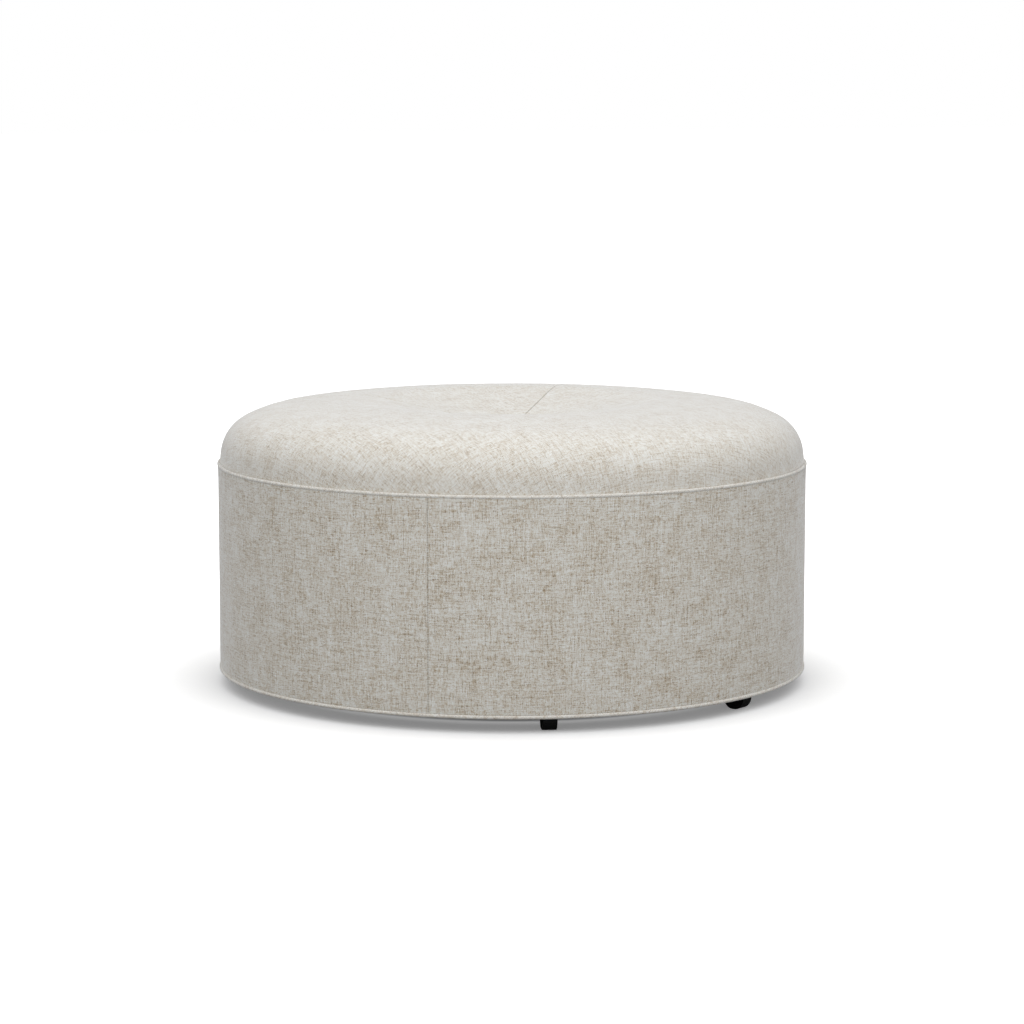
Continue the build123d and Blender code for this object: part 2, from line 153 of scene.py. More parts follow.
def raw_pine(name, scale):
    """Planed pine, whose growth rings are drawn out along the axis with the smallest scale."""
    made, tree, surface = new_finish(name, 0.7)
    settings = [("wave_type", "BANDS"), ("bands_direction", "X")]
    values = [("Scale", 3.0), ("Distortion", 6.0), ("Detail", 3.0), ("Detail Scale", 1.2)]
    links = [("Vector", drawn_out(tree, scale))]
    rings = add_node(tree, "ShaderNodeTexWave", settings, values, links).outputs["Fac"]
    tree.links.new(add_ramp(tree, rings, pine_tones), surface.inputs["Base Color"])
    add_bump(tree, surface, rings, 0.2, 0.0006)
    return made


post_pine = raw_pine("pine_post", (22, 22, 1.6))
rail_pine = raw_pine("pine_rail", (22, 1.6, 22))
for number in range(1, 9):
    finish_node(f"upright_{number}", post_pine)
for name in ("base_rail_left", "base_rail_right"):
    finish_node(name, rail_pine)

# Side wrap
# A sheet of hardboard is bent round the posts and meets at one joint.
# It is pressed from brown wood fibre, smooth and faintly mottled.

fibre_tones = [(0.3, (0.16, 0.09, 0.045)), (0.55, (0.23, 0.135, 0.07)), (0.75, (0.31, 0.19, 0.10))]

hardboard, tree, surface = new_finish("hardboard", 0.55)
fibre = add_noise(tree, drawn_out(tree, (1, 1, 1)), 420.0, 4.0, 0.7)
tree.links.new(add_ramp(tree, fibre, fibre_tones), surface.inputs["Base Color"])
add_bump(tree, surface, fibre, 0.2, 0.0003)
finish_node("side_wrap", hardboard)

# Webbing
# Flat jute straps are stretched across the deck ring in two layers at right angles and stapled down.
# Each is woven from coarse brown yarns, with a darker stripe along both its borders.

strap_width = 0.050
strap_pitch = 0.120
strap_thickness = 0.0012
strap_end_setback = 0.010
strap_stripe_start = 0.4 * strap_width
rib_pitch = 0.0011
deck_top = 0.3213
deck_radius = 0.4421
jute_tones = [(0.0, (0.16, 0.09, 0.05)), (1.0, (0.62, 0.50, 0.33))]


def finish_mesh(bm, name, material):
    """Makes a finished mesh a piece of the drum, in one material and slot."""
    mesh = bpy.data.meshes.new(name)
    bm.to_mesh(mesh)
    bm.free()
    mesh.shade_smooth()
    mesh.materials.append(material)
    made = bpy.data.objects.new(name, mesh)
    bpy.context.scene.collection.objects.link(made)
    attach(made, "root")
    return made


def thicken(piece, thickness):
    """Gives a flat sheet its thickness, half to each side."""
    made = piece.modifiers.new("thickness", "SOLIDIFY")
    made.thickness = thickness
    made.offset = 0


def strap_finish(name, across, lengthwise):
    """Ribbed jute for straps, given the number of the axis across them and of the one along them."""
    made, tree, surface = new_finish(name, 0.8)
    place = split(tree, add_node(tree, "ShaderNodeTexCoord").outputs["Object"])
    # Straps lie a pitch apart, so the place across them is folded into the way from a strap's middle.
    reach = add_math(tree, "PINGPONG", place[across], strap_pitch / 2)
    stripe = add_math(tree, "GREATER_THAN", reach, strap_stripe_start)
    rib = add_math(tree, "MULTIPLY", add_math(tree, "PINGPONG", place[lengthwise], rib_pitch), 900.0)
    shade = add_math(tree, "MULTIPLY_ADD", stripe, -0.5, add_math(tree, "MULTIPLY_ADD", rib, 0.3, 0.6))
    tree.links.new(add_ramp(tree, shade, jute_tones), surface.inputs["Base Color"])
    add_bump(tree, surface, rib, 0.5, 0.0004)
    return made


strap_layers = (("webbing_lower", 0, deck_top), ("webbing_upper", 90, deck_top + strap_thickness))
for name, turn, level in strap_layers:
    bm = bmesh.new()
    for place in range(-2, 3):
        offset = place * strap_pitch
        half = math.sqrt(deck_radius**2 - (abs(offset) + strap_width / 2) ** 2) - strap_end_setback
        made = bmesh.ops.create_grid(bm, x_segments=6, y_segments=60, size=0.5)["verts"]
        bmesh.ops.scale(bm, vec=(strap_width, 2 * half, 1), verts=made)
        bmesh.ops.translate(bm, vec=(offset, 0, level + strap_thickness / 2), verts=made)
    turned = Matrix.Rotation(math.radians(turn), 3, "Z")
    bmesh.ops.rotate(bm, cent=(0, 0, 0), matrix=turned, verts=bm.verts)
    finish = strap_finish(name + "_jute", 1 if turn else 0, 0 if turn else 1)
    straps = finish_mesh(bm, name + "_straps", finish)
    thicken(straps, strap_thickness)
    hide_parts(name)

# Deck cloth
# A round sheet of plain sacking lies over the webbing, so that the foam can't sag between the straps.
# It is cut a little smaller than the ring under it.

cloth_radius = 0.4381
cloth_level = 0.3250
cloth_thickness = 0.0006
threads_per_metre = 6000.0 / math.tau
sacking_tones = [(0.0, (0.52, 0.43, 0.29)), (1.0, (0.70, 0.60, 0.43))]


def spin_round(bm, steps):
    """Turns an outline, drawn as radius and level, once round the upright axis."""
    around = {"cent": (0, 0, 0), "axis": (0, 0, 1), "angle": math.tau}
    bmesh.ops.spin(bm, geom=bm.verts[:] + bm.edges[:], steps=steps, use_merge=True, **around)
    bmesh.ops.remove_doubles(bm, verts=bm.verts, dist=0.000002)
    bmesh.ops.recalc_face_normals(bm, faces=bm.faces)


def walk_straight(bm, vert, heading, run, pieces):
    """Draws a straight part of an outline. Headings turn from outwards at 0 to upwards at 90."""
    step = Vector((math.cos(math.radians(heading)), 0, math.sin(math.radians(heading)))) * (run / pieces)
    for _ in range(pieces):
        vert = bmesh.ops.extrude_vert_indiv(bm, verts=[vert])["verts"][0]
        bmesh.ops.translate(bm, vec=step, verts=[vert])
    return vert


sacking, tree, surface = new_finish("deck_sacking", 0.9)
place = split(tree, add_node(tree, "ShaderNodeTexCoord").outputs["Object"])
phases = [add_math(tree, "MULTIPLY", side, math.tau * threads_per_metre) for side in place[:2]]
weave = add_math(tree, "MULTIPLY", *[add_math(tree, "SINE", phase) for phase in phases])
shade = add_math(tree, "MULTIPLY_ADD", weave, 0.5, 0.5)
tree.links.new(add_ramp(tree, shade, sacking_tones), surface.inputs["Base Color"])
add_bump(tree, surface, weave, 0.4, 0.0003)
bm = bmesh.new()
walk_straight(bm, bm.verts.new((0, 0, cloth_level)), 0, cloth_radius, 24)
spin_round(bm, 96)
deck_cloth = finish_mesh(bm, "deck_sacking_sheet", sacking)
thicken(deck_cloth, cloth_thickness)
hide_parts("deck_cloth")

# Seat
# A crowned foam block, wrapped in fibre wadding, is covered with linen-look slub cloth, pulled down tight.
# The cover is sewn from a large piece and a quarter piece, whose two seams meet at the tuft in the dish.

welt_radius = 0.003
top_welt_level = 0.3413
crown_radius = 0.4549
crown_lean = 6.1
crown_side = 0.0160
crown_arcs = ((0.0653, 58.4, 12), (0.183, 17.2, 9), (0.900, 7.7, 17), (0.150, 11.3, 6))
seat_low_radius = 0.4450
seat_low = 0.3262
seat_rise = 0.0160
tuft_start = 0.040
tuft_radius = 0.045
tuft_turn = 27
tuft_floor_radius = 0.006
tuft_flat_radius = 0.014
bore_radius = 0.0030
seat_slack = 0.0012
seat_unevenness = (0.11, 0.22, 5.0)
seat_columns = 192

top_seams = (133.125, 225)
crease_half = 0.0013
seam_lines = (-0.0028, -crease_half, -0.0005, 0.0005, crease_half, 0.0028)
seam_reach = 0.009
seam_line_reach = 0.0003
seam_line_depth = 0.0020
seam_side_reach = 0.0008
seam_side_depth = 0.0005
seam_lift_share = 0.75
stitch_length = 0.0036
quarter_on_roll = (0.31, 0.17)

fold_count = 13
fold_height = 0.0011
fold_range = (0.010, 0.120)
fold_full = 0.016
fold_fade = 0.018

stuffing_pressure = 4.0
stuffing_stiffness = 5.0
stuffing_frames = 20
least_swelling_share = 0.6

yarn_pitch = 0.00115
yarn_wander = 0.0018
wander_per_metre = 12.0
patches_per_metre = 26.0
# Each kind of change along a yarn: its step from yarn to yarn, its count per metre and its strength.
yarn_changes = ((0.8, 16.0, 0.5), (5.37, 50.0, 0.62), (7.13, 170.0, 0.8))
yarn_tones = [
    (0.22, (0.28, 0.195, 0.115)),
    (0.34, (0.525, 0.425, 0.30)),
    (0.44, (0.695, 0.635, 0.54)),
    (0.52, (0.775, 0.75, 0.685)),
    (0.62, (0.853, 0.846, 0.80)),
    (0.76, (0.95, 0.957, 0.94)),
]
# A pale, even tone. Mixing the seat's cloth towards it is painted sheen; mixing the welts' only evens
# their flecks.
evening_and_sheen_tone = (0.83, 0.82, 0.79)
# A dark tone, painted as shade into the seams' creases, more at each stitch.
seam_shade_tone = (0.20, 0.15, 0.11)


def walk_arc(bm, vert, heading, radius, turn, pieces):
    """Draws an arc of an outline that leaves along a heading and turns, leftwards when positive."""
    across = math.radians(heading + (90 if turn > 0 else -90))
    middle = vert.co + Vector((math.cos(across), 0, math.sin(across))) * radius
    bend = {"cent": middle, "axis": (0, -1, 0), "angle": math.radians(turn)}
    made = bmesh.ops.spin(bm, geom=[vert], steps=pieces, **bend)
    last = [part for part in made["geom_last"] if isinstance(part, bmesh.types.BMVert)]
    return last[0], heading + turn


def mark_lengths(bm, name, run=0.0):
    """Keeps each outline point's way along the outline to the last point, which itself gets the run."""
    layer = bm.verts.layers.float[name]
    verts = bm.verts[:]
    verts[-1][layer] = run
    for after, before in zip(reversed(verts), reversed(verts[:-1])):
        run += (after.co - before.co).length
        before[layer] = run


def swell(piece, held, reaches):
    """Presses a sewn shape out from inside, by each point's reach at most and over half of it at least."""
    rest = [vert.co.copy() for vert in piece.data.vertices]
    normals = [vert.normal.copy() for vert in piece.data.vertices]
    group = piece.vertex_groups.new(name="held")
    group.add([place for place, fixed in enumerate(held) if fixed], 1.0, "REPLACE")
    cloth = piece.modifiers.new("stuffing", "CLOTH")
    cloth.settings.use_pressure = True
    cloth.settings.uniform_pressure_force = stuffing_pressure
    cloth.settings.effector_weights.gravity = 0.0
    cloth.settings.tension_stiffness = stuffing_stiffness
    cloth.settings.compression_stiffness = stuffing_stiffness
    cloth.settings.vertex_group_mass = "held"
    cloth.collision_settings.use_collision = False
    for number in range(1, stuffing_frames + 1):
        bpy.context.scene.frame_set(number)
    graph = bpy.context.evaluated_depsgraph_get()
    swollen = piece.evaluated_get(graph).data
    moved = [vert.co.copy() for vert in swollen.vertices]
    piece.modifiers.remove(cloth)
    bpy.context.scene.frame_set(1)
    travels = zip(piece.data.vertices, rest, moved, normals, reaches, held)
    for vert, start, end, normal, reach, fixed in travels:
        least = least_swelling_share * reach
        lift = 0.0 if fixed else max(least, min(reach, (end - start).dot(normal)))
        vert.co = start + normal * lift


def round_off(piece):
    """One subdivision of a stuffed shape, kept in its mesh."""
    finer = piece.modifiers.new("finer", "SUBSURF")
    finer.levels = 1
    finer.render_levels = 1
    graph = bpy.context.evaluated_depsgraph_get()
    mesh = bpy.data.meshes.new_from_object(piece.evaluated_get(graph))
    piece.modifiers.clear()
    piece.data = mesh


def spread(place, size, amount, seed):
    """Slow unevenness of hand-laid padding, a factor that strays from one by its amount at most."""
    return 1.0 + amount * noise.noise(place / size + Vector((seed, 0, 0)))


def sew(bm, azimuth, inner, low, run_of):
    """Draws a seam's two panel edges down into the padding along one bearing, and paints shade into its
    crease, dotted by its stitches.
    """
    away = Vector((math.sin(math.radians(azimuth)), -math.cos(math.radians(azimuth)), 0))
    across = Vector((math.cos(math.radians(azimuth)), math.sin(math.radians(azimuth)), 0))

    def near(place):
        return abs(place.dot(across)) < seam_reach and place.dot(away) > inner and place.z > low

    verts = [vert for vert in bm.verts if near(vert.co)]
    chosen = set(verts)
    edges = [edge for edge in bm.edges if chosen.issuperset(edge.verts)]
    faces = [face for face in bm.faces if chosen.issuperset(face.verts)]
    parts = [*faces, *edges, *verts]
    for offset in seam_lines:
        plane = {"plane_co": across * offset, "plane_no": across}
        parts = bmesh.ops.bisect_plane(bm, geom=parts, dist=0.00002, **plane)["geom"]
    bm.normal_update()
    seam_shade = bm.verts.layers.float["seam_shade"]
    stitch = bm.verts.layers.float["stitch"]
    for vert in parts:
        if isinstance(vert, bmesh.types.BMVert):
            reach = abs(vert.co.dot(across))
            # Painted shade: full in the middle of the seam's crease and none at its edges.
            vert[seam_shade] = max(0.0, 1.0 - reach / crease_half)
            vert[stitch] = run_of(vert.co, away)
            depth = seam_side_depth if reach < seam_side_reach else 0.0
            if reach < seam_line_reach:
                depth = seam_line_depth
            vert.co -= vert.normal * depth


def slub_cloth():
    """Plain weave of uneven linen-look yarns, crossing a thread at a time, with slubs and flecks."""
    tree = bpy.data.node_groups.new("slub_cloth", "ShaderNodeTree")
    tree.interface.new_socket("Place", in_out="INPUT", socket_type="NodeSocketVector")
    tree.interface.new_socket("Color", in_out="OUTPUT", socket_type="NodeSocketColor")
    tree.interface.new_socket("Relief", in_out="OUTPUT", socket_type="NodeSocketFloat")
    source = tree.nodes.new("NodeGroupInput").outputs["Place"]
    result = tree.nodes.new("NodeGroupOutput")
    values = [("Scale", wander_per_metre), ("Detail", 1.0)]
    wander = add_node(tree, "ShaderNodeTexNoise", (), values, [("Vector", source)]).outputs["Color"]
    settings = [("operation", "SUBTRACT")]
    values = [(1, (0.5, 0.5, 0.5))]
    centred = add_node(tree, "ShaderNodeVectorMath", settings, values, [(0, wander)]).outputs[0]
    settings = [("operation", "MULTIPLY_ADD")]
    values = [(1, (yarn_wander, yarn_wander, 0.0))]
    links = [(0, centred), (2, source)]
    bent = add_node(tree, "ShaderNodeVectorMath", settings, values, links).outputs[0]
    u, v, _ = split(tree, bent)
    across = [add_math(tree, "DIVIDE", side, yarn_pitch) for side in (u, v)]
    thread = [add_math(tree, "FLOOR", side) for side in across]
    patch = add_noise(tree, source, patches_per_metre, 2.0, 0.6)
    tones = []
    for number, lengthwise, seed in ((thread[0], v, 3.1), (thread[1], u, 71.7)):
        tone = add_math(tree, "MULTIPLY_ADD", patch, 0.2, 0.4)
        # Yarns that lie together share slow changes. Each has its own slubs, and short flecks in them.
        for step, rate, amount in yarn_changes:
            lane = add_math(tree, "MULTIPLY_ADD", number, step, seed)
            links = [("X", lane), ("Y", add_math(tree, "MULTIPLY", lengthwise, rate))]
            yarn = add_node(tree, "ShaderNodeCombineXYZ", links=links).outputs[0]
            change = add_noise(tree, yarn, 1.0, 2.0, 0.6, "2D")
            change = add_math(tree, "MULTIPLY_ADD", change, amount, -amount / 2)
            tone = add_math(tree, "ADD", tone, change)
        tones.append(tone)
    over = add_math(tree, "FLOORED_MODULO", add_math(tree, "ADD", *thread), 2.0)
    tone = add_math(tree, "MULTIPLY_ADD", add_math(tree, "SUBTRACT", *tones), over, tones[1])
    tree.links.new(add_ramp(tree, tone, yarn_tones), result.inputs["Color"])
    rounds = []
    for side in across:
        from_middle = add_math(tree, "MULTIPLY_ADD", add_math(tree, "FRACT", side), 2.0, -1.0)
        fall = add_math(tree, "MULTIPLY", from_middle, from_middle)
        rounds.append(add_math(tree, "SUBTRACT", 1.0, fall))
    relief = add_math(tree, "MULTIPLY_ADD", add_math(tree, "SUBTRACT", *rounds), over, rounds[1])
    relief = add_math(tree, "MULTIPLY_ADD", tone, 0.8, relief)
    tree.links.new(relief, result.inputs["Relief"])
    return tree


cloth_weave = slub_cloth()


def cover_finish(name, evening_and_sheen=0.0):
    """The cover cloth, laid by the piece's map of its place on the roll, with painted shade in its seams.
    A pale mix evens its tones, and on the seat it is painted sheen.
    """
    made, tree, surface = new_finish(name, 0.92)
    surface.inputs["Sheen Weight"].default_value = 1.0
    surface.inputs["Sheen Roughness"].default_value = 0.35
    surface.inputs["Specular IOR Level"].default_value = 0.2
    place = add_node(tree, "ShaderNodeUVMap", [("uv_map", "roll")]).outputs["UV"]
    cloth = add_node(tree, "ShaderNodeGroup", [("node_tree", cloth_weave)], (), [("Place", place)])
    seam_shade = add_node(tree, "ShaderNodeAttribute", [("attribute_name", "seam_shade")]).outputs["Fac"]
    stitch = add_node(tree, "ShaderNodeAttribute", [("attribute_name", "stitch")]).outputs["Fac"]
    # Painted shade: the seam's crease is darkened towards a dark tone, more at each stitch along it.
    beat = add_math(tree, "SINE", add_math(tree, "MULTIPLY", stitch, math.tau / stitch_length))
    stitch_shade = add_math(tree, "MULTIPLY_ADD", beat, 0.3, 0.55)
    shade = add_math(tree, "MULTIPLY", seam_shade, stitch_shade)
    # Mixing towards a pale, even tone: on the seat it is painted sheen, on the welts it evens the flecks.
    color = add_mix(tree, evening_and_sheen, cloth.outputs["Color"], evening_and_sheen_tone)
    color = add_mix(tree, shade, color, seam_shade_tone)
    tree.links.new(color, surface.inputs["Base Color"])
    add_bump(tree, surface, cloth.outputs["Relief"], 0.25, 0.0004)
    return made


# The seat's cloth goes a fifth of the way to the pale tone, as painted sheen.
seat_cloth = cover_finish("slub_seat", 0.2)


def start_cover():
    """A new cover piece with the layers that its cloth and its painted seam shade, dotted by the stitches,
    read.
    """
    bm = bmesh.new()
    for name in ("along", "seam_shade", "stitch"):
        bm.verts.layers.float.new(name)
    bm.loops.layers.uv.new("roll")
    return bm


bm = start_cover()
lean = math.radians(crown_lean)
first = bm.verts.new((bore_radius, 0, seat_low))
vert = walk_straight(bm, first, 0, seat_low_radius - bore_radius, 12)
vert = walk_straight(bm, vert, 90, seat_rise, 3)
seat_foot = top_welt_level + 0.9 * welt_radius
start = Vector((crown_radius - seat_slack * math.cos(lean), 0, seat_foot - seat_slack * math.sin(lean)))
leap = start - vert.co
vert = walk_straight(bm, vert, math.degrees(math.atan2(leap.z, leap.x)), leap.length, 2)
heading = 90 + crown_lean
vert = walk_straight(bm, vert, heading, 0.1 * welt_radius, 1)
vert = walk_straight(bm, vert, heading, crown_side, 3)
for radius, turn, pieces in crown_arcs:
    vert, heading = walk_arc(bm, vert, heading, radius - seat_slack, turn, pieces)
tuft_from = tuft_start - seat_slack * math.sin(math.radians(heading))
slope = (vert.co.x - tuft_from) / -math.cos(math.radians(heading))
vert = walk_straight(bm, vert, heading, slope, 26)
vert, heading = walk_arc(bm, vert, heading, tuft_radius - seat_slack, tuft_turn, 7)
vert, heading = walk_arc(bm, vert, heading, tuft_floor_radius + seat_slack, 180 - heading, 4)
last = walk_straight(bm, vert, 180, vert.co.x - bore_radius, 3)
mark_lengths(bm, "along", bore_radius)
low = walk_straight(bm, last, 270, (last.co.z - seat_low) * 5 / 6, 5)
bm.edges.new((low, first))
spin_round(bm, seat_columns)
along = bm.verts.layers.float["along"]
roll = bm.loops.layers.uv["roll"]
for face in bm.faces:
    middle = face.calc_center_median()
    back = top_seams[0] < math.degrees(math.atan2(middle.x, -middle.y)) % 360 < top_seams[1]
    for loop in face.loops:
        place = loop.vert.co
        grow = loop.vert[along] / place.xy.length
        shift = [back * side for side in quarter_on_roll]
        loop[roll].uv = (place.x * grow + shift[0], place.y * grow + shift[1])
seat = finish_mesh(bm, "seat_cushion", seat_cloth)
held = []
reaches = []
for vert in seat.data.vertices:
    place = vert.co
    held.append(place.z < top_welt_level + welt_radius or place.xy.length < tuft_flat_radius)
    bearing = math.degrees(math.atan2(place.x, -place.y)) % 360
    on_seam = any(abs(bearing - azimuth) < 0.3 for azimuth in top_seams)
    share = seam_lift_share if on_seam else 1.0
    reaches.append(seat_slack * spread(place, *seat_unevenness) * share)
swell(seat, held, reaches)
round_off(seat)
bm = bmesh.new()
bm.from_mesh(seat.data)
# Each seam is drawn down into the padding, with painted shade along its crease.
for azimuth in top_seams:
    sew(bm, azimuth, tuft_flat_radius, top_welt_level + welt_radius, lambda place, away: place.dot(away))
# Small folds run out from the button, unevenly spaced round it.
for vert in bm.verts:
    reach = vert.co.xy.length
    if fold_range[0] < reach < fold_range[1] and vert.co.z > top_welt_level:
        turn = math.atan2(vert.co.y, vert.co.x)
        fold = math.cos(fold_count * turn + 0.9 * math.sin(2 * turn + 0.7) + 0.6 * math.sin(5 * turn))
        vert.co.z += fold_height * fold * math.exp(-max(0.0, reach - fold_full) / fold_fade)
bm.to_mesh(seat.data)
bm.free()
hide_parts("seat_foam", "crown_wadding", "top_cover_main", "top_cover_quarter")

# Tuft
# A button covered in the same cloth holds the dish's middle down, on twine that runs through the foam.
# The twine hangs on the button's steel plate and is knotted under a wooden stick below the crossed straps.

button_level = 0.39244
button_radius = 0.0150
button_rim = 0.0025
button_lip = 0.0011
button_foot_bend = 0.0014
button_top_bend = 0.0012
button_top_turn = 53
button_on_roll = (7.30, 7.10)
plate_thickness = 0.0012
twine_top = 0.3884
twine_end = 0.3052
twine_radius = 0.0010
strand_width = 0.00096
strand_turns = 9
knot_top = 0.3096
knot_strand_width = 0.0018
knot_radius = 0.0017
knot_turns = 1.9
knot_height = 0.0036

bm = start_cover()
first = bm.verts.new((0, 0, button_level + plate_thickness))
vert = walk_straight(bm, first, 0, button_radius - button_rim, 4)
vert = walk_straight(bm, vert, 270, plate_thickness, 2)
vert = walk_straight(bm, vert, 0, button_lip, 1)
vert, heading = walk_arc(bm, vert, 0, button_foot_bend, 90, 5)
vert = walk_straight(bm, vert, 90, button_rim - button_foot_bend, 1)
vert, heading = walk_arc(bm, vert, 90, button_top_bend, button_top_turn, 4)
dome = vert.co.x / math.sin(math.radians(180 - heading))
walk_arc(bm, vert, heading, dome, 180 - heading, 10)
mark_lengths(bm, "along")
spin_round(bm, 64)
along = bm.verts.layers.float["along"]
roll = bm.loops.layers.uv["roll"]
for face in bm.faces:
    for loop in face.loops:
        place = loop.vert.co
        grow = loop.vert[along] / max(place.xy.length, 0.0001)
        loop[roll].uv = (place.x * grow + button_on_roll[0], place.y * grow + button_on_roll[1])
button = finish_mesh(bm, "covered_button", seat_cloth)
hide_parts("tuft_button")

zinc_tones = [(0.3, (0.40, 0.40, 0.39)), (0.7, (0.60, 0.60, 0.58))]


def plated_steel(name, roughness):
    """Steel with a thin coat of zinc, blotched a little by its bloom."""
    made, tree, surface = new_finish(name, roughness)
    surface.inputs["Metallic"].default_value = 1.0
    bloom = add_noise(tree, drawn_out(tree, (1, 1, 1)), 500.0, 3.0, 0.6)
    tree.links.new(add_ramp(tree, bloom, zinc_tones), surface.inputs["Base Color"])
    add_bump(tree, surface, bloom, 0.1, 0.0001)
    return made


finish_node("button_back", plated_steel("plated_plate", 0.35))
finish_node("twine_toggle", raw_pine("pine_stick", (1.6, 22, 22)))

flax_tones = [(0.3, (0.45, 0.36, 0.23)), (0.7, (0.66, 0.57, 0.42))]

waxed_twine, tree, surface = new_finish("waxed_twine", 0.65)
fuzz = add_noise(tree, drawn_out(tree, (1, 1, 0.3)), 1500.0, 3.0, 0.6)
tree.links.new(add_ramp(tree, fuzz, flax_tones), surface.inputs["Base Color"])
add_bump(tree, surface, fuzz, 0.3, 0.0002)


def wind(bm, width, reach, top, start, turns, drop, steps):
    """Winds a strand of one width down a helix, from a level and a bearing."""
    before = set(bm.faces)
    bmesh.ops.create_circle(bm, cap_ends=True, segments=8, radius=width / 2)
    disc = [face for face in bm.faces if face not in before]
    verts = disc[0].verts[:]
    bmesh.ops.translate(bm, vec=(reach, 0, top), verts=verts)
    turned = Matrix.Rotation(math.radians(start), 3, "Z")
    bmesh.ops.rotate(bm, cent=(0, 0, 0), matrix=turned, verts=verts)
    parts = disc + disc[0].edges[:] + verts
    around = {"cent": (0, 0, 0), "axis": (0, 0, 1), "angle": math.tau * turns}
    bmesh.ops.spin(bm, geom=parts, dvec=(0, 0, -drop / steps), steps=steps, **around)


bm = bmesh.new()
for start in (0, 120, 240):
    wind(bm, strand_width, twine_radius / 2, twine_top, start, strand_turns, twine_top - twine_end, 90)
wind(bm, knot_strand_width, knot_radius, knot_top - 0.0005, 0, knot_turns, knot_height, 40)
bmesh.ops.recalc_face_normals(bm, faces=bm.faces)
twine = finish_mesh(bm, "twisted_twine", waxed_twine)
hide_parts("tuft_twine")

# Side band
# The drum's side is foam glued round the wrap, under two halves of the same cloth, sewn edge to edge.
# Both its rims are turned in under the welts, and the halves meet in two upright seams.

drum_radius = 0.4572
padding_inner = 0.4457
band_low = 0.0268
band_high = 0.3400
band_slack = 0.0008
band_unevenness = (0.12, 0.30, 9.0)
band_fixed_rim = 0.002
low_turn_in = 0.0008
high_turn_in = 0.0004
top_bulge = 0.0009
top_bulge_height = 0.030
band_seams = (-44.8, 135.2)
band_on_roll = (2.0, 3.0)
second_half_shift = (0.43, 0.29)
band_cloth = cover_finish("slub_band")


def panel_turn(place, middle):
    """Angles of a face's middle and of a place on it from the first band seam, with no break between."""
    first = (math.degrees(math.atan2(middle.x, -middle.y)) - band_seams[0]) % 360
    turn = math.degrees(math.atan2(place.x, -place.y)) - band_seams[0] - first
    return first, first + (turn + 180) % 360 - 180


bm = start_cover()
first = bm.verts.new((padding_inner, 0, band_low))
outer = drum_radius - band_slack
vert = walk_straight(bm, first, 0, outer - low_turn_in - padding_inner, 2)
vert, heading = walk_arc(bm, vert, 0, low_turn_in, 90, 3)
vert = walk_straight(bm, vert, heading, band_high - band_low - low_turn_in - high_turn_in, 34)
vert, heading = walk_arc(bm, vert, heading, high_turn_in, 90, 3)
last = walk_straight(bm, vert, heading, outer - high_turn_in - padding_inner, 2)
low = walk_straight(bm, last, 270, (band_high - band_low) * 7 / 8, 7)
bm.edges.new((low, first))
spin_round(bm, seat_columns)
roll = bm.loops.layers.uv["roll"]
for face in bm.faces:
    middle = face.calc_center_median()
    for loop in face.loops:
        side, turn = panel_turn(loop.vert.co, middle)
        second = side > 180
        along = math.radians(turn) * drum_radius + band_on_roll[0] + second_half_shift[0] * second
        up = loop.vert.co.z + band_on_roll[1] + second_half_shift[1] * second
        loop[roll].uv = (along, up)
side_band = finish_mesh(bm, "side_band", band_cloth)
held = []
reaches = []
for vert in side_band.data.vertices:
    place = vert.co
    free_height = band_low + band_fixed_rim <= place.z <= band_high - band_fixed_rim
    held.append(place.xy.length < outer - 0.0001 or not free_height)
    reaches.append(band_slack * spread(place, *band_unevenness))
swell(side_band, held, reaches)
round_off(side_band)
bm = bmesh.new()
bm.from_mesh(side_band.data)
# Each seam is drawn down into the padding, with painted shade along its crease.
for azimuth in band_seams:
    sew(bm, azimuth, padding_inner + 0.005, band_low + 0.0005, lambda place, away: place.z)
# The cloth stands out a little where it is pulled over the joint under the seat's welt.
for vert in bm.verts:
    if vert.co.xy.length > outer - 0.003:
        height = max(0.0, 1.0 - (band_high - vert.co.z) / top_bulge_height)
        vert.co.xy *= 1.0 + top_bulge * height**2 / drum_radius
bm.to_mesh(side_band.data)
bm.free()
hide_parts("band_padding", "band_cover_left", "band_cover_right")

# Welts
# A bias-cut strip of the same cloth is sewn shut round a paper cord, with its hem caught in the joint.
# One welt runs round the seat's edge and one round the base, with joints in line with the band's seams.

welt_circle = 0.4552
bottom_welt_level = 0.0237
top_hem_low = 0.3405
bottom_hem_low = 0.0213
bottom_hem_inner = 0.4352
hem_thickness = 0.0016
welt_unevenness = 0.03
welt_on_roll = 5.0
bias_share = 0.7071
welt_cloth = cover_finish("slub_welt", 0.35)


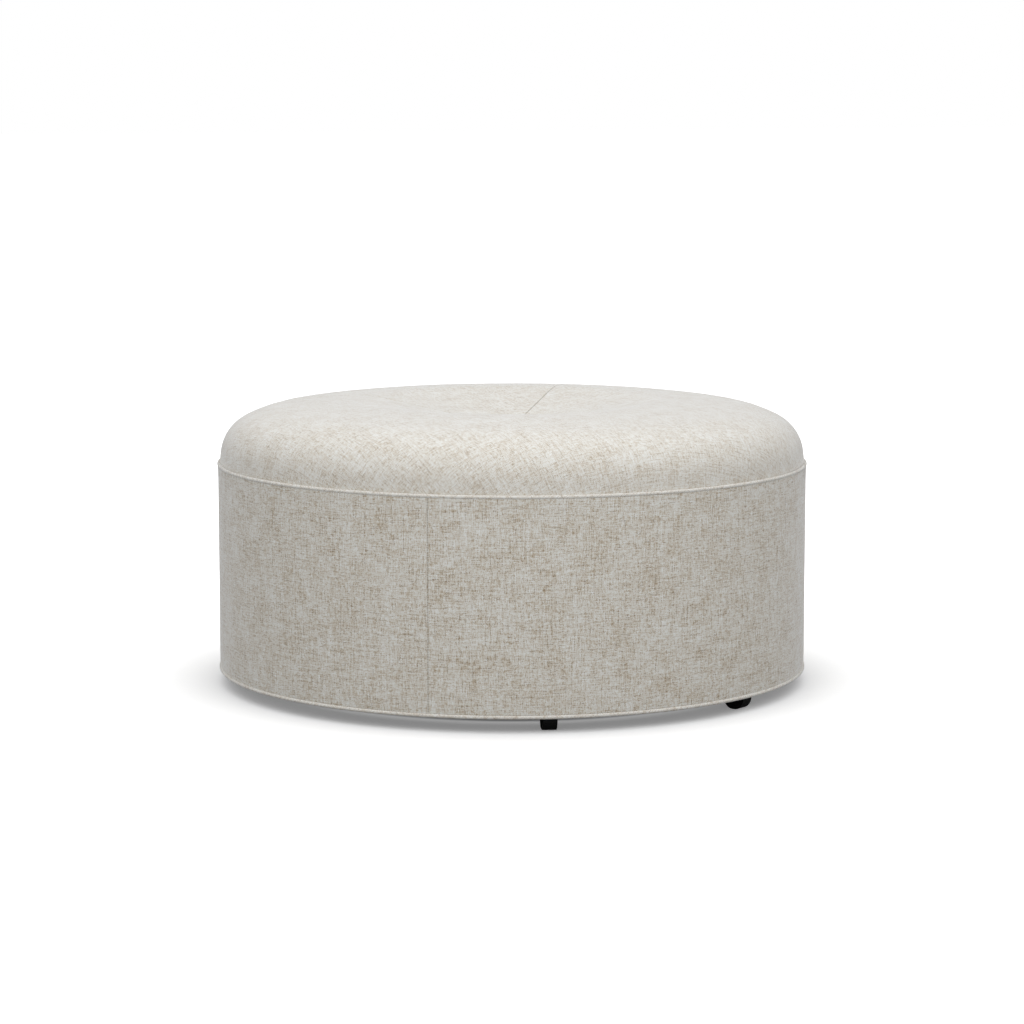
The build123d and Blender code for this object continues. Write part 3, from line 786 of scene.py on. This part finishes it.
def welt(name, level, hem_low, hem_inner, nodes):
    """One welt at a level, with its cord's round form and the hem that runs inwards from it."""
    bm = start_cover()
    first = bm.verts.new((hem_inner, 0, hem_low))
    hem_high = hem_low + hem_thickness
    start = 180 + math.degrees(math.asin((level - hem_low) / welt_radius))
    end = 540 - math.degrees(math.asin((hem_high - level) / welt_radius))
    reach = welt_circle + welt_radius * math.cos(math.radians(start))
    vert = walk_straight(bm, first, 0, reach - hem_inner, 3)
    vert, heading = walk_arc(bm, vert, start + 90, welt_radius, end - start, 26)
    last = walk_straight(bm, vert, 180, vert.co.x - hem_inner, 3)
    mark_lengths(bm, "along")
    bm.edges.new((last, first))
    spin_round(bm, 2 * seat_columns)
    along = bm.verts.layers.float["along"]
    roll = bm.loops.layers.uv["roll"]
    for face in bm.faces:
        middle = face.calc_center_median()
        for loop in face.loops:
            run = math.radians(panel_turn(loop.vert.co, middle)[1]) * welt_circle
            side = loop.vert[along]
            warp = (run + side) * bias_share + welt_on_roll
            weft = (run - side) * bias_share + welt_on_roll
            loop[roll].uv = (warp, weft)
    for vert in bm.verts:
        if vert.co.xy.length > welt_circle - welt_radius:
            middle = vert.co.copy()
            middle.z = level
            middle.xy *= welt_circle / middle.xy.length
            fullness = spread(middle, 0.03, welt_unevenness, level * 40)
            vert.co = middle + (vert.co - middle) * fullness
    made = finish_mesh(bm, name, welt_cloth)
    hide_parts(*nodes)


top_nodes = ("top_welt_cord", "top_welt_cover")
bottom_nodes = ("bottom_welt_cord", "bottom_welt_cover")
welt("top_welt", top_welt_level, top_hem_low, padding_inner, top_nodes)
welt("bottom_welt", bottom_welt_level, bottom_hem_low, bottom_hem_inner, bottom_nodes)

# Dust cover
# A round of black non-woven fabric closes the underside, stapled up against the base welt's hem.
# It is pulled tight by hand and hangs a little inside the ring, and its skin shows small bonded dimples.

dust_radius = 0.4492
dust_level = 0.0210
dust_thickness = 0.0006
sag_radius = 0.3300
sag_depth = 0.0030
dust_tones = [(0.3, (0.006, 0.006, 0.006)), (0.9, (0.022, 0.022, 0.023))]

dust_fabric, tree, surface = new_finish("black_non_woven", 0.85)
place = drawn_out(tree, (1, 1, 1))
settings = [("Scale", 480.0), ("Randomness", 0.12)]
dimples = add_node(tree, "ShaderNodeTexVoronoi", (), settings, [("Vector", place)]).outputs["Distance"]
fibres = add_noise(tree, place, 900.0, 4.0, 0.7)
relief = add_math(tree, "MULTIPLY_ADD", fibres, 0.5, dimples)
tree.links.new(add_ramp(tree, relief, dust_tones), surface.inputs["Base Color"])
add_bump(tree, surface, relief, 0.4, 0.0003)
bm = bmesh.new()
walk_straight(bm, bm.verts.new((0, 0, dust_level)), 0, dust_radius, 40)
for vert in bm.verts:
    vert.co.z -= sag_depth * max(0.0, 1.0 - (vert.co.x / sag_radius) ** 2) ** 2
spin_round(bm, 96)
dust_cover = finish_mesh(bm, "non_woven_sheet", dust_fabric)
thicken(dust_cover, dust_thickness)
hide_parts("dust_cover")

# Feet
# Four moulded glide blocks of black plastic are screwed through the base, with a half-round sole.
# Their skin is finely textured and dull, as it comes from the mould.

foot_tones = [(0.3, (0.002, 0.002, 0.002)), (0.7, (0.005, 0.005, 0.005))]

foot_plastic, tree, surface = new_finish("black_glide_plastic", 0.6)
surface.inputs["Specular IOR Level"].default_value = 0.2
skin = add_noise(tree, drawn_out(tree, (1, 1, 1)), 900.0, 3.0, 0.6)
tree.links.new(add_ramp(tree, skin, foot_tones), surface.inputs["Base Color"])
add_bump(tree, surface, skin, 0.25, 0.0002)
for number in range(1, 5):
    finish_node(f"foot_{number}", foot_plastic)

# Fasteners
# Countersunk screws hold the wood and the feet, and wire staples hold the straps and the dust cover.
# All are of steel with a thin coat of zinc, which has dulled a little.

dull_zinc = plated_steel("dull_zinc", 0.45)
for name in ("foot_screws", "rail_screws", "frame_screws", "webbing_staples", "dust_cover_staples"):
    finish_node(name, dull_zinc)

# Floor, light and camera
# The drum stands on a white floor, with a painted shadow round it, under a broad soft light and a weaker
# one on the viewer's side.
# The viewer stands about five metres off and looks slightly down.

floor_bounce = (0.25, 0.25, 0.25)
floor_tone = (0.92, 0.92, 0.92)
# Painted shadow on the floor, as a glow only the viewer sees: how far from the drum's axis, and how
# strong.
# No glow under the drum, a pale strip under it near its edge, low round the edge, then up to full white
# far out.
painted_shadow_glow = (
    (0.35, 0.0),
    (0.37, 0.33),
    (0.395, 0.22),
    (0.44, 0.20),
    (0.48, 0.21),
    (0.56, 0.36),
    (0.9, 1.0),
)
floor_half = 60
air_strength = 0.66
# Each lamp: its name, power, width and depth, colour and place.
lamps = (
    ("overhead", 13.2, (3.6, 3.6), (0.945, 0.97, 1.0), Vector((0, 0, 1.6))),
    ("front_fill", 6.2, (2.8, 0.8), (1.0, 1.0, 1.0), Vector((-0.676, -1.450, 1.15))),
)
lamps_aim = Vector((0, 0, 0.25))
viewer_azimuth = -29.5
viewer_distance = 4.912
viewer_height = 0.9124
viewer_pitch = 7.563
viewer_lens = 111.39

floor_white, tree, surface = new_finish("white_floor", 0.9)
output = tree.nodes["Material Output"]
tree.nodes.remove(surface)
seen = add_node(tree, "ShaderNodeLightPath").outputs["Is Camera Ray"]
color = add_mix(tree, seen, floor_bounce, floor_tone)
paper = add_node(tree, "ShaderNodeBsdfDiffuse", (), (), [("Color", color)])
place = add_node(tree, "ShaderNodeTexCoord").outputs["Object"]
settings = [("operation", "LENGTH")]
away = add_node(tree, "ShaderNodeVectorMath", settings, (), [(0, place)]).outputs["Value"]
# Painted shadow: the floor glows for the viewer by its distance from the drum's axis.
lift = add_ramp(tree, away, [(reach, (level, level, level)) for reach, level in painted_shadow_glow])
links = [("Strength", add_math(tree, "MULTIPLY", seen, lift))]
painted_glow = add_node(tree, "ShaderNodeEmission", (), [("Color", (1, 1, 1, 1))], links)
both = add_node(tree, "ShaderNodeAddShader", (), (), [(0, paper.outputs[0]), (1, painted_glow.outputs[0])])
tree.links.new(both.outputs[0], output.inputs["Surface"])
bm = bmesh.new()
bmesh.ops.create_grid(bm, x_segments=1, y_segments=1, size=floor_half)
mesh = bpy.data.meshes.new("floor")
bm.to_mesh(mesh)
bm.free()
mesh.materials.append(floor_white)
floor = bpy.data.objects.new("floor", mesh)
bpy.context.scene.collection.objects.link(floor)

world = bpy.data.worlds.new("studio")
bpy.context.scene.world = world
world.use_nodes = True
tree = world.node_tree
air = tree.nodes["Background"]
path = add_node(tree, "ShaderNodeLightPath").outputs
plain = add_math(tree, "MAXIMUM", path["Is Camera Ray"], path["Is Glossy Ray"])
plain = add_math(tree, "MAXIMUM", plain, path["Is Transmission Ray"])
# What the viewer sees of the air, also in mirrors, is full white. As a light on things it's weaker.
strength = add_math(tree, "MULTIPLY_ADD", plain, 1.0 - air_strength, air_strength)
tree.links.new(strength, air.inputs["Strength"])
air.inputs["Color"].default_value = (1, 1, 1, 1)

for name, power, size, color, place in lamps:
    lamp = bpy.data.lights.new(name, "AREA")
    lamp.shape = "ELLIPSE"
    lamp.size, lamp.size_y = size
    lamp.energy = power
    lamp.color = color
    made = bpy.data.objects.new(name, lamp)
    made.location = place
    made.rotation_euler = (lamps_aim - place).to_track_quat("-Z", "Y").to_euler()
    bpy.context.scene.collection.objects.link(made)

lens = bpy.data.cameras.new("viewer")
lens.sensor_width = 36.0
lens.lens = viewer_lens
lens.clip_end = 200.0
camera = bpy.data.objects.new("viewer", lens)
turn = math.radians(viewer_azimuth)
camera.location = (viewer_distance * math.sin(turn), -viewer_distance * math.cos(turn), viewer_height)
camera.rotation_euler = (math.radians(90 - viewer_pitch), 0, turn)
bpy.context.scene.collection.objects.link(camera)
bpy.context.scene.camera = camera
bpy.context.scene.view_settings.view_transform = "Standard"
